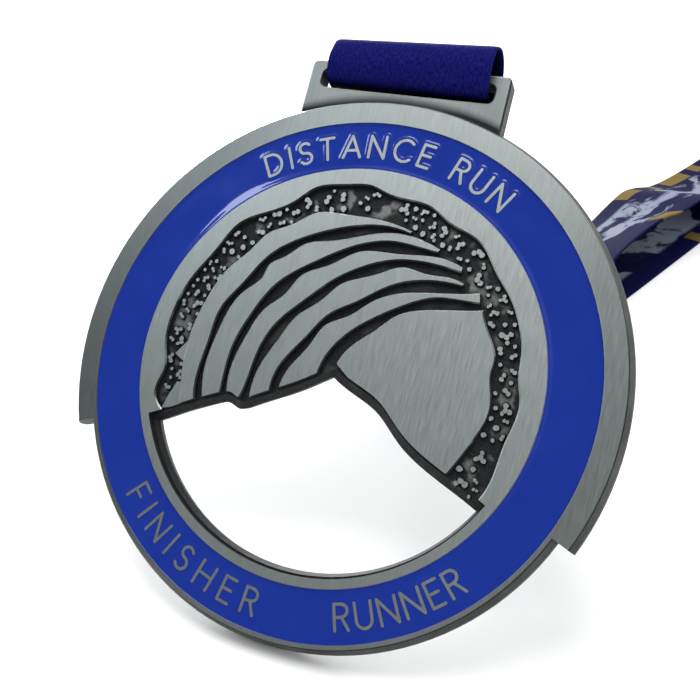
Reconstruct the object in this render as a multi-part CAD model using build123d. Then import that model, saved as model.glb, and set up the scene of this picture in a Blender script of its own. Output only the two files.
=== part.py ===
from build123d import *
import math
import os
import random

# Finisher medal on a neck ribbon. Millimetres.
#
# Medal frame: X to the right, Y up through the ribbon lug, Z out of the face, with the front
# rim at z = 0 and the origin at the centre of the disc. The whole medal is modelled in that
# frame and then leaned back, so that it stands on its lower rim on the ground plane z = 0 of
# the part's own frame, with the ribbon behind it as its prop.

# ---- driving dimensions -----------------------------------------------------------------
THICKNESS = 3.5
WIDE_RIM_R = 40.2           # front edge of the wide rim, the upper 225 degrees
NARROW_RIM_R = 37.75        # front edge of the narrow rim, the lower 135 degrees
RIM_STEP_ANGLE = 23.2       # the wide rim ends this far below the horizontal
FLANK = 0.65                # how far the side walls swell out behind the front edges
EDGE = 0.2                  # bevel along polished edges
ENAMEL_OUTER_R = 37.0
ENAMEL_INNER_R = 29.8
RELIEF_DEPTH = 0.9          # floor of the sunk areas and of the enamel channel
ENAMEL_LEVEL = -0.3
HOLE_FRONT_R = 28.5         # lower arc of the cut-out at the front
HOLE_LEDGE_R = 28.2
HOLE_WAIST_R = 27.75
HOLE_WAIST_DEPTH = 1.1       # the wall narrows from the ledge down to its waist
HOLE_BACK_GROWTH = 0.3      # and draws back again towards the back face
WAIST_SHIFT = (-0.45, 1.4)  # the waist's slopes lie this far to the left and down

LUG_HALF_WIDTH = 15.45
LUG_TOP = 46.3
LUG_FACE = -0.6
LUG_CORNER_R = 0.9
LUG_BEVEL = 0.25
LUG_ROOT = 1.0              # the tab grows out of the rim this far outside the enamel
LUG_TURN = 0.7              # and sits this far round to the left of the face's upright
SLOT_HALF_LENGTH = 13.3
SLOT_LOW = 42.0
SLOT_HIGH = 44.8
SLOT_CORNER_R = 0.9

LETTER_STROKE = 0.42
LETTER_TOP = -0.15
TOP_TEXT = ("DISTANCE RUN", 3.3, 31.65, 123.5, 56.5)      # text, height, base radius, angles
LEFT_TEXT = ("FINISHER", 3.4, 35.1, 223.5, 267.0)
RIGHT_TEXT = ("RUNNER", 3.4, 35.1, 286.5, 317.0)

LEAN = 41.0                 # the medal leans this far back from upright

RIBBON_WIDTH = 25.0
RIBBON_THICKNESS = 0.5
STRAND_THICKNESS = 1.1      # two layers of ribbon lying together
RIBBON_X = -0.5             # the ribbon hangs a little left of the lug's middle
SEAM_ANGLE = 205.0          # about the bar, from the front over the top: where the strands leave
SEAM_START = 6.4            # the layers meet this far from the bar's centre
SEAM_END = 15.0             # and lie flat together up to here
LOOP_RADII = [              # (angle about the bar, radius) of the middle of the ribbon round the bar
    (150, 4.9), (120, 4.9), (90, 4.9), (60, 4.5), (30, 3.5), (0, 2.95),
    (-45, 2.9), (-90, 2.75), (-120, 2.95), (-140, 3.8),
]
RIBBON_HEADING = 17.0       # the ribbon runs off behind, this far towards +X
FLOOR_START = (5.6, 92.0)   # where it lies flat on the ground
DROP_PULL = 36.0            # how stiffly the ribbon leaves the seam
LANDING_PULL = 16.0         # and how gently it meets the ground
DROP_STATIONS = 15
FLOOR_RUN = 150.0           # flat run on the ground, up to the folded end
FOLD_LENGTH = 80.0
FOLD_HEIGHT = 4.5
FOLD_EDGE_R = 1.6
STITCH_ROWS = (8.5, 11.5)   # distances from the bar's centre
STITCHES_PER_ROW = 9
STITCH_LENGTH = 1.7
STITCH_WIDTH = 0.4
STITCH_HEIGHT = 0.15

# ---- relief outlines, medal frame --------------------------------------------------------
# The cut-out's upper edge on the front face, from its left corner over the peak to the right.
LEFT_SLOPE = [
    (-26.4, -12.3), (-20.9, -9.3), (-16.2, -6.9), (-13.9, -6.3), (-12.4, -6.8), (-10.6, -6.1),
    (-4.0, -2.3), (0.3, 0.7),
]
RIGHT_SLOPE = [
    (0.3, 0.7), (4.0, -1.1), (8.0, -2.9), (10.4, -4.9), (12.4, -6.6), (17.0, -9.2), (25.9, -13.2),
]
SLOPE_LEDGE = 0.35          # the raised work stands this far back from the edge of the base

# Outer edge of the sunk pebble border, clockwise from its lower left tip.
PEBBLE_EDGE = [
    (-24.1, -10.9), (-25.7, -7.2), (-25.3, -5.4), (-26.3, -1.6), (-26.6, 3.5), (-25.1, 9.2),
    (-22.4, 14.2), (-20.1, 18.4), (-16.1, 20.8), (-12.2, 23.2), (-9.7, 25.6), (-5.0, 26.8),
    (-1.4, 27.2), (1.6, 26.3), (8.2, 25.4), (11.3, 23.6), (16.3, 21.5), (19.1, 18.1),
    (22.5, 14.1), (23.9, 11.6), (25.3, 7.4), (25.6, 4.4), (26.6, 0.8), (25.9, -4.5),
    (25.1, -10.4), (23.8, -13.2),
]

# Raised bands, each as its outer edge from the foot to the tip and its inner edge back down.
BANDS = [
    (
        [(-21.2, -10.4), (-22.3, -6.5), (-23.0, 0.6), (-21.7, 7.4), (-19.8, 11.7), (-17.2, 14.9),
         (-15.2, 17.8), (-11.9, 19.7), (-8.7, 22.0), (-4.4, 22.5), (1.6, 22.5), (6.3, 21.6)],
        [(6.2, 21.1), (2.0, 21.6), (-4.4, 20.2), (-9.8, 17.7), (-14.1, 14.2), (-16.9, 9.4),
         (-19.1, 5.5), (-19.6, 0.2), (-19.9, -4.6), (-19.0, -9.3)],
    ),
    (
        [(-18.0, -8.8), (-19.2, -3.6), (-18.6, 2.7), (-16.3, 8.7), (-14.1, 11.4), (-13.7, 13.1),
         (-11.8, 14.6), (-9.1, 17.1), (-5.1, 18.3), (0.4, 20.2), (4.6, 21.0), (8.5, 20.5),
         (10.9, 19.7)],
        [(10.7, 19.1), (7.6, 19.4), (4.2, 19.6), (-1.8, 17.8), (-6.8, 14.6), (-11.7, 10.3),
         (-14.1, 5.5), (-15.6, 0.4), (-15.7, -4.0), (-15.5, -7.8)],
    ),
    (
        [(-14.4, -7.6), (-15.1, -2.6), (-14.0, 2.7), (-12.3, 6.8), (-9.8, 9.6), (-8.5, 12.2),
         (-4.5, 14.7), (-0.8, 17.3), (4.7, 18.0), (11.5, 18.5), (14.7, 17.7)],
        [(14.7, 16.9), (10.2, 17.4), (4.6, 16.9), (0.4, 15.1), (-2.9, 12.8), (-6.8, 8.7),
         (-10.0, 4.7), (-11.6, -0.2), (-11.9, -4.0), (-12.7, -7.6)],
    ),
    (
        [(-10.9, -7.2), (-10.7, -1.4), (-8.9, 3.1), (-7.2, 6.6), (-4.3, 9.4), (-2.3, 12.0),
         (2.6, 14.5), (6.5, 16.3), (9.9, 15.9), (12.9, 16.0), (15.4, 15.5)],
        [(15.3, 15.0), (9.6, 14.8), (6.0, 13.6), (3.4, 11.9), (1.0, 10.0), (-2.4, 7.6),
         (-4.9, 3.7), (-7.1, 0.2), (-8.0, -5.8)],
    ),
    (
        [(-6.9, -5.4), (-6.4, -1.2), (-4.2, 2.8), (-2.7, 6.0), (0.4, 8.0), (2.8, 10.3),
         (6.5, 12.4), (10.5, 13.3), (14.6, 13.9), (17.9, 14.6)],
        [(18.3, 13.1), (15.5, 13.0), (12.0, 12.7), (8.4, 11.1), (4.2, 8.3), (0.6, 4.9), (-1.2, 1.8),
         (-1.8, -1.6)],
    ),
]
PLAIN_EDGE = [
    (0.5, 1.0), (2.2, 4.2), (4.9, 6.9), (6.9, 9.1), (10.7, 10.8), (19.0, 12.4),
]
PLAIN_SIDE = [
    (19.0, 12.4), (20.2, 9.8), (22.2, 5.6), (22.1, 4.2), (22.6, 1.9), (23.1, -0.8), (22.3, -4.2),
    (20.1, -9.2), (18.7, -12.0),
]

# Smooth steps beside the first band that narrow the sunk border.
LOW_STEPS = [
    [(-24.2, -10.9), (-23.6, -8.6), (-22.9, -6.6), (-21.4, -6.4), (-20.4, -9.6)],
    [(-24.5, -2.6), (-23.5, -1.0), (-22.4, 0.4), (-22.0, -1.6), (-22.4, -3.6), (-23.4, -3.2)],
]
LOW_STEP_TOP = -0.3

# Nuggets lie in clusters round the border: start angle, end angle, how many.
NUGGET_CLUSTERS = [
    (205, 196, 3), (196, 186, 8), (182, 172, 7), (171, 150, 22), (147, 137, 8), (133, 119, 10),
    (114, 100, 7), (96, 84, 4), (80, 57, 20), (54, 44, 6), (40, 22, 14), (22, 4, 11), (0, -11, 11),
    (-14, -30, 7),
]
NUGGET_RADII = (0.42, 0.78)
NUGGET_HEIGHTS = (0.45, 0.6)
NUGGET_TOP = 0.65           # the flat top's share of the base's reach
NUGGET_CORNERS = 7
NUGGET_GAP = 0.08
NUGGET_SEED = 11
BORDER_REACH = (21.0, 27.6)


def arc_points(cx, cy, rx, ry, start, end, count):
    """Points on an ellipse's arc, angles in degrees."""
    steps = [start + (end - start) * i / count for i in range(count + 1)]
    return [(cx + rx * math.cos(math.radians(a)), cy + ry * math.sin(math.radians(a))) for a in steps]


# Plain capitals of constant stroke: advance width and pen strokes, in units of the letter's height.
GLYPHS = {
    "A": (0.78, [[(0, 0), (0.39, 1), (0.78, 0)], [(0.15, 0.33), (0.63, 0.33)]]),
    "C": (0.80, [arc_points(0.48, 0.5, 0.46, 0.5, 48, 312, 12)]),
    "D": (0.72, [[(0, 0), (0, 1)] + arc_points(0.27, 0.5, 0.45, 0.5, 90, -90, 9) + [(0, 0)]]),
    "E": (0.50, [[(0.5, 1), (0, 1), (0, 0), (0.5, 0)], [(0, 0.52), (0.44, 0.52)]]),
    "F": (0.50, [[(0.5, 1), (0, 1), (0, 0)], [(0, 0.5), (0.42, 0.5)]]),
    "H": (0.68, [[(0, 0), (0, 1)], [(0.68, 0), (0.68, 1)], [(0, 0.52), (0.68, 0.52)]]),
    "I": (0.02, [[(0.01, 0), (0.01, 1)]]),
    "N": (0.70, [[(0, 0), (0, 1), (0.7, 0), (0.7, 1)]]),
    "R": (0.56, [
        [(0, 0), (0, 1)] + arc_points(0.27, 0.75, 0.27, 0.25, 90, -90, 7) + [(0, 0.5)],
        [(0.29, 0.5), (0.56, 0)],
    ]),
    "S": (0.54, [
        arc_points(0.27, 0.755, 0.25, 0.245, 35, 270, 8)
        + arc_points(0.27, 0.26, 0.27, 0.26, 80, -148, 8),
    ]),
    "T": (0.64, [[(0, 1), (0.64, 1)], [(0.32, 1), (0.32, 0)]]),
    "U": (0.64, [[(0, 1)] + arc_points(0.32, 0.33, 0.32, 0.33, 180, 360, 8) + [(0.64, 1)]]),
    " ": (0.30, []),
}


def letter_face(strokes, height):
    """One letter as a flat face with its base line on the X axis and its left side at x = 0."""
    face = Sketch()
    for stroke in strokes:
        points = [(x * height, y * height) for x, y in stroke]
        for (x0, y0), (x1, y1) in zip(points, points[1:]):
            run = math.hypot(x1 - x0, y1 - y0)
            slant = math.degrees(math.atan2(y1 - y0, x1 - x0))
            bar = SlotCenterToCenter(run, LETTER_STROKE, rotation=slant)
            face += Pos((x0 + x1) / 2, (y0 + y1) / 2) * bar
    return face


def arc_text(text, height, base_radius, start, end):
    """Letters spaced evenly round an arc, reading clockwise over the top, the other way below."""
    widths = [GLYPHS[c][0] * height for c in text]
    over_top = start > end
    middle_radius = base_radius + (height / 2 if over_top else -height / 2)
    arc_length = math.radians(abs(end - start)) * middle_radius
    gap = (arc_length - sum(widths)) / (len(text) - 1)
    solids = []
    along = 0.0
    for letter, width in zip(text, widths):
        turned = math.degrees((along + width / 2) / middle_radius)
        angle = start - turned if over_top else start + turned
        along += width + gap
        if not GLYPHS[letter][1]:
            continue
        face = Pos(-width / 2, 0) * letter_face(GLYPHS[letter][1], height)
        if over_top:
            placed = Rot(0, 0, angle - 90) * Pos(0, base_radius) * face
        else:
            placed = Rot(0, 0, angle + 90) * Pos(0, -base_radius) * face
        body = extrude(Pos(0, 0, -RELIEF_DEPTH) * placed, RELIEF_DEPTH + LETTER_TOP, dir=(0, 0, 1))
        solids.append(body)
    return solids


def rim(front_radius, inner_radius, degrees, start):
    """A turned rim with swelling side walls, from inner_radius outwards."""
    side_radius = front_radius + FLANK
    profile = Polyline(
        (inner_radius, -THICKNESS), (side_radius - 0.4, -THICKNESS),
        (side_radius - 0.1, -THICKNESS + 0.3), (side_radius, -THICKNESS + 1.3),
        (side_radius - 0.08, -1.5), (front_radius, -EDGE), (front_radius - EDGE, 0),
        (ENAMEL_OUTER_R, 0), (ENAMEL_OUTER_R, -RELIEF_DEPTH), (inner_radius, -RELIEF_DEPTH),
        close=True,
    )
    section = Plane.XZ * make_face(profile)
    return Rot(0, 0, start) * revolve(section, Axis.Z, degrees)


def outline(*curves):
    """A flat face inside curves that meet end to end."""
    return make_face([edge for curve in curves for edge in curve.edges()])


def raised(face):
    """A raised flat area with a small bevel along the curved edges of its polished top."""
    block = extrude(Pos(0, 0, -RELIEF_DEPTH) * face, RELIEF_DEPTH, dir=(0, 0, 1))
    tops = block.edges().filter_by(GeomType.BSPLINE).filter_by_position(Axis.Z, -EDGE / 2, EDGE / 2)
    return chamfer(tops, EDGE)


def cut_out(down, arc_radius, across=0.0):
    """The cut-out as a face: wavy slopes above, moved down and across, and an arc below."""
    left = [(x + across, y - down) for x, y in LEFT_SLOPE]
    right = [(x + across, y - down) for x, y in RIGHT_SLOPE]
    far = 60.0
    right_corner, left_corner = (far, right[-1][1] - far / 2), (-far, left[0][1] - far / 2)
    skirt = Polyline(right[-1], right_corner, (0, -2 * far), left_corner, left[0])
    below = outline(Spline(*left), Spline(*right), skirt)
    return below & Circle(arc_radius)


def inside(fence, x, y):
    """Whether a point lies inside a closed line of points."""
    crossings = 0
    for (x0, y0), (x1, y1) in zip(fence, fence[1:] + fence[:1]):
        if (y0 > y) != (y1 > y) and x < x0 + (y - y0) / (y1 - y0) * (x1 - x0):
            crossings += 1
    return crossings % 2 == 1


def clearance(fence, x, y):
    """Distance from a point to a closed line of points."""
    nearest = math.inf
    for (x0, y0), (x1, y1) in zip(fence, fence[1:] + fence[:1]):
        dx, dy = x1 - x0, y1 - y0
        share = ((x - x0) * dx + (y - y0) * dy) / (dx * dx + dy * dy)
        share = min(1.0, max(0.0, share))
        nearest = min(nearest, math.hypot(x0 + share * dx - x, y0 + share * dy - y))
    return nearest


def nugget_lump(draw, x, y, size):
    """An uneven little block with sloping sides and a flat top."""
    turn = draw.uniform(0, 360)
    corners = []
    for i in range(NUGGET_CORNERS):
        angle = math.radians(turn + 360 * i / NUGGET_CORNERS)
        reach = size * draw.uniform(0.75, 1.1)
        corners.append((reach * math.cos(angle), reach * math.sin(angle)))
    crown = [(NUGGET_TOP * cx, NUGGET_TOP * cy) for cx, cy in corners]
    top = -RELIEF_DEPTH + draw.uniform(*NUGGET_HEIGHTS)
    base_face = Pos(x, y, -RELIEF_DEPTH - EDGE) * make_face(Polyline(*corners, close=True))
    top_face = Pos(x, y, top) * make_face(Polyline(*crown, close=True))
    return loft([base_face.face(), top_face.face()], ruled=True)


def nuggets():
    """Flat-topped nuggets of one to three lumps, scattered in the sunk border."""
    draw = random.Random(NUGGET_SEED)
    tips = [outer[-1] for outer, inner in BANDS[1:]]
    fence = PEBBLE_EDGE + (BANDS[0][0] + tips + PLAIN_SIDE)[::-1]
    lumps = []
    bodies = []

    def room_for(x, y, size):
        free = all(math.hypot(x - px, y - py) > size + ps + NUGGET_GAP for px, py, ps in lumps)
        if not free or not inside(fence, x, y) or clearance(fence, x, y) < 0.8 * size:
            return False
        return all(not inside(step, x, y) and clearance(step, x, y) > size for step in LOW_STEPS)

    for start, end, count in NUGGET_CLUSTERS:
        made = 0
        for attempt in range(80 * count):
            size = draw.uniform(*NUGGET_RADII)
            angle = math.radians(draw.uniform(start, end))
            radius = draw.uniform(*BORDER_REACH)
            x, y = radius * math.cos(angle), radius * math.sin(angle)
            if made == count or not room_for(x, y, size):
                continue
            made += 1
            turn = draw.uniform(0, 2 * math.pi)
            nugget = [(x, y, size)]
            for side in range(draw.choice((0, 1, 1, 2, 3))):
                reach, smaller = 0.95 * size, size * draw.uniform(0.75, 1.05)
                way = turn + side * math.radians(115)
                lump = (x + reach * math.cos(way), y + reach * math.sin(way), smaller)
                if room_for(*lump):
                    nugget.append(lump)
            lumps += nugget
            body = Part()
            for lump in nugget:
                body += nugget_lump(draw, *lump)
            bodies.append(body)
    return bodies


def lug():
    """The flat tab above the disc with the ribbon slot through it."""
    low = WIDE_RIM_R - 8
    plate = RectangleRounded(2 * LUG_HALF_WIDTH, LUG_TOP - low, LUG_CORNER_R)
    slot = RectangleRounded(2 * SLOT_HALF_LENGTH, SLOT_HIGH - SLOT_LOW, SLOT_CORNER_R)
    face = Pos(0, (low + LUG_TOP) / 2) * plate - Pos(0, (SLOT_LOW + SLOT_HIGH) / 2) * slot
    face -= Circle(ENAMEL_OUTER_R + LUG_ROOT)
    tab = extrude(Pos(0, 0, -THICKNESS) * face, THICKNESS + LUG_FACE, dir=(0, 0, 1))
    for level in (LUG_FACE, -THICKNESS):
        rounded = tab.edges().filter_by_position(Axis.Z, level - EDGE, level + EDGE)
        outside = [edge for edge in rounded if edge.center().Y > WIDE_RIM_R + LUG_BEVEL]
        tab = chamfer(outside, LUG_BEVEL)
    return Rot(0, 0, LUG_TURN) * tab


def relief():
    """Everything that stands up from the floor of the front face, inside the enamel ring."""
    below = Polyline(PEBBLE_EDGE[-1], (17, -20), (-17, -20), PEBBLE_EDGE[0])
    sunk = outline(Spline(*PEBBLE_EDGE), below)
    work = [raised(Circle(ENAMEL_INNER_R) - sunk)]
    for outer, inner in BANDS:
        tip, foot = Line(outer[-1], inner[0]), Line(inner[-1], outer[0])
        work.append(raised(outline(Spline(*outer), tip, Spline(*inner), foot)))
    foot = Line(PLAIN_SIDE[-1], PLAIN_EDGE[0])
    work.append(raised(outline(Spline(*PLAIN_EDGE), Spline(*PLAIN_SIDE), foot)))
    for step in LOW_STEPS:
        flat = Pos(0, 0, -RELIEF_DEPTH) * make_face(Polyline(*step, close=True))
        work.append(extrude(flat, RELIEF_DEPTH + LOW_STEP_TOP, dir=(0, 0, 1)))
    opening = Pos(0, 0, -RELIEF_DEPTH - EDGE) * cut_out(0, HOLE_FRONT_R)
    clearing = extrude(opening, 2 * RELIEF_DEPTH, dir=(0, 0, 1))
    return [piece - clearing for piece in work]


def medal_casting(letters):
    """Disc, stepped rim, lug, relief and letters in one casting."""
    body = rim(NARROW_RIM_R, 0, 360, 0)
    wide_arc = 180 + 2 * RIM_STEP_ANGLE
    body += rim(WIDE_RIM_R, ENAMEL_OUTER_R - 0.5, wide_arc, -RIM_STEP_ANGLE)
    body += lug()

    sideways, down = WAIST_SHIFT
    ledge = cut_out(SLOPE_LEDGE, HOLE_LEDGE_R)
    waist = cut_out(down, HOLE_WAIST_R, sideways)
    back = cut_out(down - HOLE_BACK_GROWTH, HOLE_WAIST_R + HOLE_BACK_GROWTH, sideways)
    levels = (-RELIEF_DEPTH, -RELIEF_DEPTH - HOLE_WAIST_DEPTH, -THICKNESS)
    top, middle, bottom = (Pos(0, 0, z) * face for z, face in zip(levels, (ledge, waist, back)))
    body -= loft([top.face(), middle.face()])
    body -= loft([middle.face(), bottom.face()])
    opening = Pos(0, 0, -RELIEF_DEPTH) * ledge
    body -= extrude(opening, RELIEF_DEPTH, dir=(0, 0, 1))

    body += letters
    for piece in relief():
        body += piece
    body += nuggets()
    return body


def enamel(letters):
    """The filled channel round the face: the ring, and the islands inside closed letters."""
    depth = RELIEF_DEPTH + ENAMEL_LEVEL
    channel = Pos(0, 0, -RELIEF_DEPTH) * (Circle(ENAMEL_OUTER_R) - Circle(ENAMEL_INNER_R))
    filled = extrude(channel, depth, dir=(0, 0, 1)) - letters
    pieces = sorted(filled.solids(), key=lambda piece: piece.volume)
    return pieces[-1], pieces[:-1]


def medal_place():
    """From the medal frame to the part's frame: standing on the lower rim and leaning back."""
    lean = math.radians(LEAN)
    foot_radius = NARROW_RIM_R + FLANK - 0.1
    foot_depth = THICKNESS - 0.3
    lift = foot_radius * math.cos(lean) + foot_depth * math.sin(lean)
    forward = foot_radius * math.sin(lean) - foot_depth * math.cos(lean)
    return Pos(0, forward, lift) * Rot(90 - LEAN, 0, 0)


# ---- ribbon ------------------------------------------------------------------------------
def about_bar(angle, radius):
    """A point in the part's Y-Z plane at an angle and a radius about the lug's upper bar."""
    a = math.radians(angle)
    y = (SLOT_HIGH + LUG_TOP) / 2 + radius * math.sin(a)
    z = (LUG_FACE - THICKNESS) / 2 + radius * math.cos(a)
    place = (medal_place() * Pos(0, y, z)).position
    return place.Y, place.Z


def across(section):
    """Extrudes a face drawn in the Y-Z plane over the ribbon's width."""
    left_side = Pos(RIBBON_X - RIBBON_WIDTH / 2, 0, 0) * (Plane.YZ * section)
    return extrude(left_side, RIBBON_WIDTH, dir=(1, 0, 0))


def ribbon_loop():
    """The ribbon's loop through the slot, a teardrop in section, closed at the seam."""
    faces = []
    for side in (RIBBON_THICKNESS / 2, -RIBBON_THICKNESS / 2):
        half_gap = STRAND_THICKNESS / 2 - (RIBBON_THICKNESS if side < 0 else 0)
        spread = math.degrees(half_gap / SEAM_START)
        start = about_bar(SEAM_ANGLE - spread, SEAM_START)
        end = about_bar(SEAM_ANGLE + spread, SEAM_START)
        middle = [about_bar(angle, radius + side) for angle, radius in LOOP_RADII]
        faces.append(outline(Spline(start, *middle, end), Line(end, start)))
    return across(faces[0] - faces[1])


def seam():
    """Start, direction and outward normal of the flat double layer behind the bar."""
    y0, z0 = about_bar(SEAM_ANGLE, SEAM_START)
    y1, z1 = about_bar(SEAM_ANGLE, SEAM_END)
    start, end = Vector(RIBBON_X, y0, z0), Vector(RIBBON_X, y1, z1)
    return start, end, (end - start).normalized()


def ribbon_strands():
    """Both layers from the seam down to the ground and along it to the folded end."""
    start, end, down = seam()
    heading = math.radians(RIBBON_HEADING)
    ahead = Vector(math.sin(heading), math.cos(heading), 0)
    landing = Vector(*FLOOR_START, STRAND_THICKNESS / 2)
    path = Bezier(end, end + down * DROP_PULL, landing - ahead * LANDING_PULL, landing)
    section = Rectangle(RIBBON_WIDTH, STRAND_THICKNESS)
    flat = Plane(origin=start, x_dir=(1, 0, 0), z_dir=down) * section
    body = extrude(flat, (end - start).length, dir=down)
    stations = []
    for i in range(DROP_STATIONS):
        share = i / (DROP_STATIONS - 1)
        turn = heading * share * share * (3 - 2 * share)
        tangent = path % share
        wide = Vector(math.cos(turn), -math.sin(turn), 0)
        wide = (wide - tangent * wide.dot(tangent)).normalized()
        stations.append(Plane(origin=path @ share, x_dir=wide, z_dir=tangent) * section)
    body += loft(stations, ruled=True)
    return body + extrude(stations[-1], FLOOR_RUN, dir=ahead)


def folded_end():
    """The rest of the strip, folded back on itself in a low stack on the ground."""
    heading = math.radians(RIBBON_HEADING)
    reach = FLOOR_RUN + FOLD_LENGTH / 2
    x = FLOOR_START[0] + reach * math.sin(heading)
    y = FLOOR_START[1] + reach * math.cos(heading)
    stack = Box(RIBBON_WIDTH, FOLD_LENGTH, FOLD_HEIGHT)
    ends = stack.edges().filter_by(Axis.X)
    return Pos(x, y, FOLD_HEIGHT / 2) * Rot(0, 0, -RIBBON_HEADING) * fillet(ends, FOLD_EDGE_R)


def stitching():
    """Rows of straight stitches across both faces of the seam."""
    bar_y, bar_z = about_bar(SEAM_ANGLE, 0)
    down = seam()[2]
    outward = Vector(1, 0, 0).cross(down)
    pitch = RIBBON_WIDTH / STITCHES_PER_ROW
    stitches = []
    for row in STITCH_ROWS:
        for side in (1, -1):
            for i in range(STITCHES_PER_ROW):
                x = RIBBON_X + (i - (STITCHES_PER_ROW - 1) / 2) * pitch
                lift = STRAND_THICKNESS / 2 + STITCH_HEIGHT / 2
                spot = Vector(x, bar_y, bar_z) + down * row + outward * (side * lift)
                lie = Plane(origin=spot, x_dir=(1, 0, 0), z_dir=outward)
                stitches.append(lie * Box(STITCH_LENGTH, STITCH_WIDTH, STITCH_HEIGHT))
    return stitches


def write(name, shape):
    shape.label = name
    export_step(shape, os.path.join("parts", name + ".step"))


def main():
    os.makedirs("parts", exist_ok=True)
    letters = []
    for line in (TOP_TEXT, LEFT_TEXT, RIGHT_TEXT):
        letters += arc_text(*line)
    ring, islands = enamel(letters)
    place = medal_place()
    write("medal_casting", place * medal_casting(letters))
    write("enamel_ring", place * ring)
    write("enamel_letter_counters", Compound([place * island for island in islands]))
    write("neck_ribbon_loop", ribbon_loop())
    write("neck_ribbon_strands", ribbon_strands())
    write("neck_ribbon_folded_end", folded_end())
    write("ribbon_stitching", Compound(stitching()))


if __name__ == "__main__":
    main()
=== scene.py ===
import math

import bpy
import numpy as np
from mathutils import Matrix, Vector


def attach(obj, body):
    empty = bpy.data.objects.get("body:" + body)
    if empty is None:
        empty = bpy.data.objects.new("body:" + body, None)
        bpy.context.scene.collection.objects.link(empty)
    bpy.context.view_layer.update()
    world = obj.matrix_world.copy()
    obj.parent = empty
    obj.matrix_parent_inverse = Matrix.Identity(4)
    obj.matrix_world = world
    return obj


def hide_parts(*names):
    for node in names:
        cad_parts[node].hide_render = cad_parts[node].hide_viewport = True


# A finisher medal that leans back on its lower rim, with its neck ribbon behind it.
# The medal frame has X to the right, Y up through the lug and Z out of the face. Sizes in that
# frame and along the ribbon are in millimetres.

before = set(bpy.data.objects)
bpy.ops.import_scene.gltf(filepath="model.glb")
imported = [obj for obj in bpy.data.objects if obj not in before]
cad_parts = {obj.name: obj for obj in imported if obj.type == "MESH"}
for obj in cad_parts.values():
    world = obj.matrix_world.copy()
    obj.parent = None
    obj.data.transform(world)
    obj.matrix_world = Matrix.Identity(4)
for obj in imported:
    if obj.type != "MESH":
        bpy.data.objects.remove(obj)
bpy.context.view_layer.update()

MM = 0.001
LEAN = math.radians(41)
NARROW_SIDE_R = 38.3
FOOT_DEPTH = 3.2
LIFT = NARROW_SIDE_R * math.cos(LEAN) + FOOT_DEPTH * math.sin(LEAN)
FORWARD = NARROW_SIDE_R * math.sin(LEAN) - FOOT_DEPTH * math.cos(LEAN)
MEDAL = Matrix.Translation((0, FORWARD * MM, LIFT * MM)) @ Matrix.Rotation(math.pi / 2 - LEAN, 4, "X")
MEDAL_NORMAL = MEDAL.to_3x3() @ Vector((0, 0, 1))
PAINTED_LIGHT_SIDE = MEDAL.to_3x3() @ Vector((-0.7, 0.7, 0))       # bevels facing this up-left side get a painted highlight, those facing away painted shade

# Radii on the medal's face: the sunk border, the enamel and where the ribbon tab begins.
BORDER_INNER, BORDER_OUTER = 21.0, 27.4
ENAMEL_INNER, ENAMEL_OUTER = 29.8, 37.0
TAB_FROM = 40.0

scene = bpy.context.scene
scene.view_settings.view_transform = "Standard"


# ---- camera ------------------------------------------------------------------------------
CAMERA_AT = (0.0487, -0.0852, 0.1030)
CAMERA_TOWARDS = Vector((-0.338, 0.796, -0.503))
LENS = 51.09


def make_camera():
    camera = bpy.data.objects.new("camera", bpy.data.cameras.new("camera"))
    camera.location = CAMERA_AT
    camera.rotation_mode = "QUATERNION"
    camera.rotation_quaternion = CAMERA_TOWARDS.to_track_quat("-Z", "Y")
    camera.data.sensor_width = 36
    camera.data.lens = LENS
    camera.data.clip_start = 0.005
    camera.data.clip_end = 20
    scene.collection.objects.link(camera)
    scene.camera = camera


make_camera()


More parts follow.
